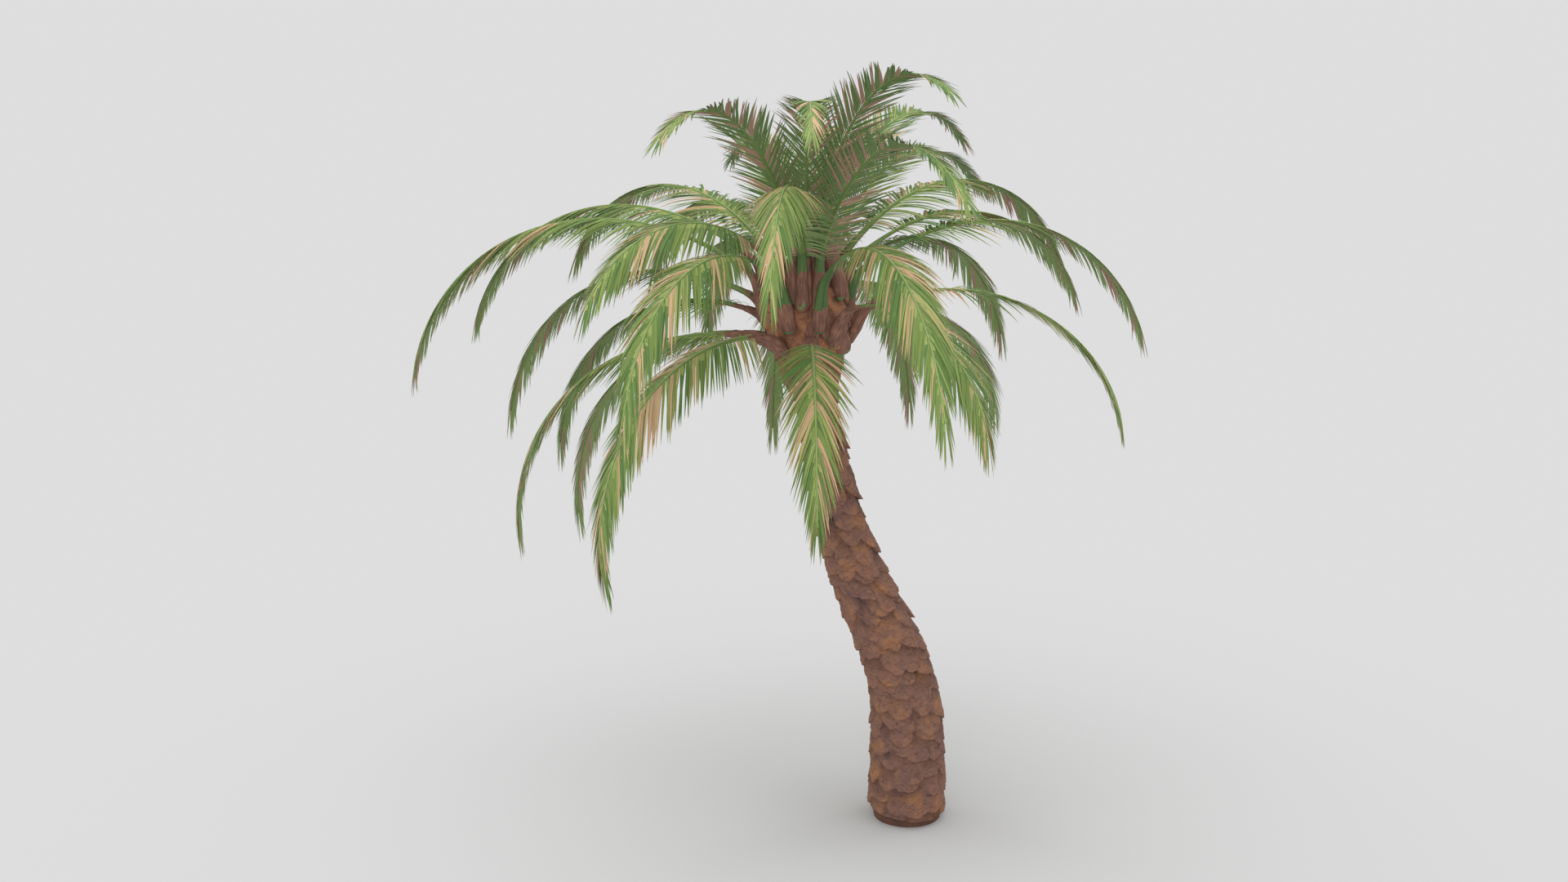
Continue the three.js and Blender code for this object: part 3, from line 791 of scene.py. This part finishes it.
# %% A leaf base for each frond, and older ones between them that stay on the head
# Range of the sizes and of the heights of the bases, as they stray from the rule
BASE_SIZES = (0.9, 1.15)
BASE_STRAY = (-0.04, 0.04)
OLD_BASES = 14
OLD_RISES = (10, 45)
OLD_ENDS = (0.36, 0.41)
OLD_STRAY = (-0.08, 0.04)
OLD_LENGTH = 4.0
GOLDEN_TURN = 137.5
# The green starts past the end of a base, so there is none
NO_GREEN = 2


def all_bases(rng):
    copies, slots = [], []
    for rib in ribs:
        green_from = GREEN_FROM[rib["rise"] >= STEEP_RISE] + rng.uniform(-0.05, 0.05)
        green_from = green_from if rib["green_stalk"] else NO_GREEN
        copies.append(base_copy(rib, BASE_END, rng.uniform(*BASE_STRAY), rng.uniform(*BASE_SIZES)))
        slots.append(base_slots(green_from, rng))
    for index in range(OLD_BASES):
        row = (index * GOLDEN_TURN % 360, rng.uniform(*OLD_RISES), OLD_LENGTH, 0, 0)
        end, shift, wide = rng.uniform(*OLD_ENDS), rng.uniform(*OLD_STRAY), rng.uniform(*BASE_SIZES)
        copies.append(base_copy(make_rib("old", index, row), end, shift, wide))
        slots.append(base_slots(NO_GREEN, rng))
    return np.array(copies), np.array(slots)


base_rng = np.random.default_rng(31)
bases, base_face_slots = all_bases(base_rng)
base_uv = [np.c_[base_shape["corners"][:, 0] + base_rng.uniform(0, 50), base_shape["corners"][:, 1] * 0.6]
           for _ in bases]
joined("leaf_base_clubs", base_shape, bases, base_face_slots, np.array(base_uv),
       ["crown_head"], [fibre, stalk_deep, rim_green], smooth=True)

# %% [markdown]
# ## Leaflets
# A leaflet is a narrow blade, folded along its middle like a shallow gutter, widest at a third of
# its length and drawn out to a point. It leaves the rib sideways and forwards, and its own weight
# pulls the rest of it down. A flat card with a picture of leaflets would be lighter, but it falls
# apart when seen from the side. Here each leaflet is a closed blade of a few dozen faces.

# %% The shape of one leaflet
LEAFLET_CUTS = 6
# Rings along the blade and the part of the full width at each of them
RING_PLACES = [0, 0.07, 0.2, 0.38, 0.58, 0.78, 0.92, 1]
RING_WIDTHS = [0.4, 0.78, 1, 0.97, 0.82, 0.55, 0.28, 0.03]
BLADE_THICKNESS = 0.0035
FOLD = 0.13

leaf_shape = tube(4, LEAFLET_CUTS)
leaf_across, leaf_even, leaf_thick = leaf_shape["corners"].T
leaf_place = np.interp(leaf_even, np.linspace(0, 1, LEAFLET_CUTS + 2), RING_PLACES)
leaf_outline = np.interp(leaf_place, RING_PLACES, RING_WIDTHS)
print("Faces of a leaflet", len(leaf_shape["faces"]), "corners", len(leaf_shape["corners"]))


# %% Where the leaflets of one side of a frond stand, and where they point
WIDTH_PROFILE = [(0, 0.7), (0.1, 1), (0.6, 1), (1, 0.6)]
# Step between leaflets and their width, by age
LEAFLET_PITCH = {"spear": 0.02, "young": 0.03, "mature": 0.02, "old": 0.02}
LEAFLET_WIDTH = {"spear": 0.018, "young": 0.021, "mature": 0.022, "old": 0.022}
# How far the leaflets stray from the rule, in degrees and as parts of their length and width
FORWARD_STRAY = 3
DROOP_STRAY = 4
TWIST_STRAY = 6
REACH_STRAY = (0.88, 1.06)
WIDTH_STRAY = (0.85, 1.1)
# The last two on each side point almost straight on
END_FORWARD = 84
# A leaflet starts this far out from the rib's middle, as part of its half width
ROOT_OUT = 0.7


def leaflet_side(rib, left, rng):
    blade = rib["length"] - TIP_LEAFLET - rib["leaf_start"]
    count = round(blade / LEAFLET_PITCH[rib["age"]])
    place = np.append((np.arange(count) + 0.25 + 0.5 * (left > 0)) / count, [1, 1])
    count = len(place)
    forward = np.radians(along(FORWARD_ANGLE, place) + rng.normal(0, FORWARD_STRAY, count))
    forward[-2:] = np.radians(END_FORWARD)
    open_droop = rib["droop"] + left * rib["roll"]
    droop = open_droop + (rib["tip_droop"] - open_droop) * place ** 2
    droop = np.radians(droop + rng.normal(0, DROOP_STRAY, count))
    distance = rib["leaf_start"] + blade * place
    point, tangent, normal = rib_frame(rib, distance)
    heading = tangent * np.sin(forward)[:, None]
    heading += rib["side"] * (left * np.cos(forward) * np.cos(droop))[:, None]
    heading -= normal * (np.cos(forward) * np.sin(droop))[:, None]
    grown = np.minimum(place / rib["grown_at"], 1)
    size = rib["first_leaflet"] * (1 - grown) + along(LEAFLET_PROFILE, place) * grown
    reach = rib["leaflet"] * size * rng.uniform(*REACH_STRAY, count)
    half = along(RIB_SECTION, distance / rib["length"]) / 2
    width = LEAFLET_WIDTH[rib["age"]] * along(WIDTH_PROFILE, place)
    return {
        "root": point + rib["side"] * (left * half * ROOT_OUT)[:, None],
        "heading": heading, "reach": reach, "sag": np.full(count, rib["sag"]),
        "face": unit(np.cross(tangent, heading) * left),
        "twist": np.radians(rng.normal(0, TWIST_STRAY, count)),
        "width": width * rng.uniform(*WIDTH_STRAY, count),
    }


# %% Shorten the leaflets that would reach into the trunk, and leave out those with no room
SHARES = [1, 0.8, 0.6, 0.42, 0.28]
GUARD_MARGIN = 1.08


def leaflet_point(side, share, part):
    """Places on each leaflet's middle line at a part of its length."""
    pull = unit_length(side) * side["reach"] * share
    sag = side["sag"][:, None] * part ** 2
    return side["root"] + pull[:, None] * (side["heading"] * part + DOWN * sag)


def unit_length(side):
    return 1 / np.linalg.norm(side["heading"] + DOWN * side["sag"][:, None], axis=1)


def is_clear(spots):
    off = np.hypot(spots[:, 0] - trunk_shift(spots[:, 2]), spots[:, 1])
    return (spots[:, 2] > TRUNK_TOP) | (off > along(TRUNK_RADIUS, spots[:, 2]) * GUARD_MARGIN)


def fit_to_trunk(side):
    best = np.zeros(len(side["reach"]))
    for share in SHARES[::-1]:
        clear = is_clear(leaflet_point(side, share, 1)) & is_clear(leaflet_point(side, share, 0.6))
        best = np.where(clear, share, best)
    kept = best > 0
    side["reach"] = side["reach"] * best
    return {key: value[kept] for key, value in side.items()}


# %% Bend a copy of the blade along each leaflet
def bend_leaflets(side):
    pull = (unit_length(side) * side["reach"])[:, None, None]
    part = leaf_place[None, :, None]
    heading = side["heading"][:, None, :]
    sag = side["sag"][:, None, None]
    middle = side["root"][:, None, :] + pull * (heading * part + DOWN * sag * part ** 2)
    tangent = unit(heading + DOWN * sag * 2 * part)
    across = unit(np.cross(tangent, np.broadcast_to(side["face"][:, None, :], tangent.shape)))
    upper = np.cross(across, tangent)
    turn = side["twist"][:, None, None]
    cosine, sine = np.cos(turn), np.sin(turn)
    across, upper = across * cosine + upper * sine, upper * cosine - across * sine
    width = (side["width"][:, None] * leaf_outline[None, :])[..., None]
    fold = np.abs(leaf_across)[None, :, None] * width * FOLD * 2
    thick = (leaf_thick * leaf_outline)[None, :, None] * BLADE_THICKNESS
    return middle + across * leaf_across[None, :, None] * width + upper * (fold + thick)


# %% [markdown]
# ## Colours of the leaflets
# Most leaflets are green, in runs of neighbours that share a tone. Here and there a few side by
# side have dried to tan, some only along one edge, and many end in a brown tip. Underneath they
# have tones with painted shade, darker than the tops, and on the older fronds with painted light,
# lighter than most tops. A run of tones is dealt out by a seeded draw for each side of each frond,
# so the same leaflets are dry every time the script runs.

# %% Deal tones out to a side's leaflets
GREEN, DEEP, LIGHT, TAN, DRY_TIP, PAINTED_SHADE_BENEATH, PAINTED_LIGHT_BENEATH, DRY_PAINTED_SHADE_BENEATH = range(len(LEAF_KINDS))
# Tones of a run's left and right edges, and the share of each such run
RUN_TONES = [
    (GREEN, GREEN), (DEEP, DEEP), (LIGHT, GREEN), (GREEN, DEEP),
    (TAN, TAN), (TAN, GREEN), (LIGHT, TAN),
]
RUN_SHARES = [0.36, 0.2, 0.13, 0.12, 0.1, 0.05, 0.04]
TIP_FROM = 0.8
ROOT_UNTIL = 0.3
# Part of the leaflets that are dry underneath although they are green above
DRY_BELOW = {"spear": 0, "young": 0.1, "mature": 0.03, "old": 0.03}
# Part of the leaflets that are light at the root, and part that are brown at the tip
LIGHT_ROOTS = 0.4
BROWN_TIPS = 0.22
LONGEST_RUN = 4

upper_left = (leaf_shape["middles"][:, 2] > 0.01) & (leaf_shape["middles"][:, 0] < 0)
upper_right = (leaf_shape["middles"][:, 2] > 0.01) & (leaf_shape["middles"][:, 0] > 0)
near_tip = leaf_shape["middles"][:, 1] > TIP_FROM
near_root = leaf_shape["middles"][:, 1] < ROOT_UNTIL


def deal_tones(count, rng):
    tones = []
    while len(tones) < count:
        pair = RUN_TONES[rng.choice(len(RUN_TONES), p=RUN_SHARES)]
        tones += [pair] * rng.integers(1, LONGEST_RUN + 1)
    return np.array(tones[:count])


def leaflet_slots(age, count, rng):
    tones = deal_tones(count, rng)
    dry = (tones == TAN).any(axis=1) | (rng.random(count) < DRY_BELOW[age])
    # Undersides get painted shade, those of dry leaflets a darker tan, and on the older fronds painted
    # light
    below = np.where(dry, DRY_PAINTED_SHADE_BENEATH, PAINTED_SHADE_BENEATH if age == "young" else PAINTED_LIGHT_BENEATH)
    slots = np.repeat(below[:, None], len(leaf_shape["faces"]), axis=1)
    slots[:, upper_left] = tones[:, :1]
    slots[:, upper_right] = tones[:, 1:]
    green = (slots == GREEN) | (slots == DEEP)
    slots[(rng.random(count) < LIGHT_ROOTS)[:, None] & near_root[None, :] & green] = LIGHT
    browned = (rng.random(count) < BROWN_TIPS)[:, None] & near_tip[None, :] & (slots < PAINTED_SHADE_BENEATH)
    slots[browned] = DRY_TIP
    return slots


# %% Leaflets of a group of fronds as one mesh
# Each leaflet reads the streaks at a place of its own: across by its shift, along by this part of it
MAP_SLANT = 0.7


def leaflet_piece(name, group, seed):
    rng = np.random.default_rng(seed)
    copies, slots, maps = [], [], []
    for rib in group:
        for left in (1, -1):
            side = fit_to_trunk(leaflet_side(rib, left, rng))
            count = len(side["reach"])
            copies.append(bend_leaflets(side))
            slots.append(leaflet_slots(rib["age"], count, rng))
            shift = rng.uniform(0, 90, (count, 1))
            onwards = leaf_place[None, :] + shift * MAP_SLANT
            maps.append(np.stack([leaf_across[None, :] + shift, onwards], axis=-1))
    print(name, "leaflets", sum(len(copy) for copy in copies))
    return joined(name, leaf_shape, np.concatenate(copies), np.concatenate(slots), np.concatenate(maps),
                  nodes_of(group), leaf_materials, smooth=False)


def fronds(age, first=0, last=None):
    return [rib for rib in ribs if rib["age"] == age][first:last]


# The last number seeds the draws of a piece. For the young fronds and for 09 to 16 it was picked
# from 90 that were tried, so that about as many leaflets near the camera are dry as in the photograph.
leaflet_piece("leaflets_young", fronds("young"), 110)
leaflet_piece("leaflets_mature_01_08", fronds("mature", 0, 8), 102)
leaflet_piece("leaflets_mature_09_16", fronds("mature", 8, 16), 178)
leaflet_piece("leaflets_mature_17_21", fronds("mature", 16), 104)
leaflet_piece("leaflets_old", fronds("old"), 105)
leaflet_piece("leaflets_spear", fronds("spear"), 106)


# %% [markdown]
# ## Floor, light and camera
# The palm stands on a plain pale floor that melts into an even grey background. A floor could
# end at a backdrop with a bend, but here its material fades into the tone of the sky with the
# distance from the trunk, slowly near it, which leaves painted shade round the trunk. The light is
# soft: an even sky, one broad lamp overhead, so that the crown darkens the floor under it, and
# three further off that light its front and its sides.

# %% Floor
BACKGROUND = 0.73
FLOOR_RADIUS = 10.0
# How far the floor has faded into the sky, as (part of its radius, part of the sky's tone); the slow fade
# leaves painted shade near the trunk
FLOOR_FADE = [
    (0.06, 0.0), (0.15, 0.2), (0.33, 0.52), (0.475, 0.72), (0.62, 0.89), (0.8, 0.97), (1.0, 1.0),
]


def floor_material():
    nodes = Nodes("pale_floor", 0.9)
    nodes.shader.inputs["Base Color"].default_value = (0.68, 0.68, 0.68, 1)
    nodes.shader.inputs["Specular IOR Level"].default_value = 0.0
    length = nodes.add("ShaderNodeVectorMath", operation="LENGTH")
    nodes.link(nodes.add("ShaderNodeTexCoord").outputs["Object"], length.inputs[0])
    part = nodes.add("ShaderNodeMath", operation="DIVIDE")
    part.inputs[1].default_value = FLOOR_RADIUS
    nodes.link(length.outputs["Value"], part.inputs[0])
    stops = [(place, (share,) * 3 + (1,)) for place, share in FLOOR_FADE]
    # The fade leaves the floor darker near the trunk: painted shade on top of the crown's own shadow
    fade = nodes.ramp(part.outputs["Value"], stops, "B_SPLINE")
    sky = nodes.add("ShaderNodeEmission")
    sky.inputs["Color"].default_value = (BACKGROUND,) * 3 + (1,)
    mix = nodes.add("ShaderNodeMixShader")
    nodes.link(fade, mix.inputs["Fac"])
    nodes.link(nodes.shader.outputs["BSDF"], mix.inputs[1])
    nodes.link(sky.outputs["Emission"], mix.inputs[2])
    nodes.link(mix.outputs["Shader"], nodes.tree.nodes["Material Output"].inputs["Surface"])
    return nodes.material


floor_bm = bmesh.new()
bmesh.ops.create_circle(floor_bm, cap_ends=True, segments=96, radius=FLOOR_RADIUS)
floor_mesh = bpy.data.meshes.new("floor")
floor_bm.to_mesh(floor_mesh)
floor_bm.free()
floor_mesh.materials.append(floor_material())
floor = bpy.data.objects.new("floor", floor_mesh)
bpy.context.scene.collection.objects.link(floor)

# %% Sky and lamps
scene = bpy.context.scene
scene.view_settings.view_transform = "Standard"
world = bpy.data.worlds.new("even_sky")
world.use_nodes = True
world.node_tree.nodes["Background"].inputs["Color"].default_value = (BACKGROUND,) * 3 + (1,)
scene.world = world


def lamp(name, place, target, size, power):
    data = bpy.data.lights.new(name, "AREA")
    data.shape = "DISK"
    data.size = size
    data.energy = power
    lamp_object = bpy.data.objects.new(name, data)
    lamp_object.location = place
    direction = np.array(target) - np.array(place)
    lamp_object.rotation_euler = vector_to_euler(direction)
    scene.collection.objects.link(lamp_object)
    return lamp_object


def vector_to_euler(direction):
    """Turns a lamp, which shines along its own -Z, towards a direction."""
    x, y, z = direction / np.linalg.norm(direction)
    return (math.acos(-z), 0, math.atan2(-x, y) + (math.pi if z > 0 else 0))


lamp("overhead", (-1.0, -1.5, 13.0), (-1.0, 0.0, 0.0), 9.0, 300)
lamp("front_fill", (-2.0, -14.0, 7.0), (-1.0, 0.0, 3.5), 7.0, 420)
lamp("left_fill", (-13.0, 7.0, 7.0), (-1.0, 0.0, 3.5), 7.0, 200)
lamp("right_fill", (11.0, 7.0, 7.0), (-1.0, 0.0, 3.5), 7.0, 200)

# %% Camera: a little downwards, as in the photograph
# The place follows from this tilt and length, a chosen scale, and where the photograph shows the foot
CAMERA_PLACE = (-1.08, -13.716, 5.760)
LOOKING_DOWN = 10
FOCAL_LENGTH = 37.78
camera_data = bpy.data.cameras.new("camera")
camera_data.lens = FOCAL_LENGTH
camera_data.sensor_width = 36
camera = bpy.data.objects.new("camera", camera_data)
camera.location = CAMERA_PLACE
camera.rotation_euler = (math.radians(90 - LOOKING_DOWN), 0, 0)
scene.collection.objects.link(camera)
scene.camera = camera
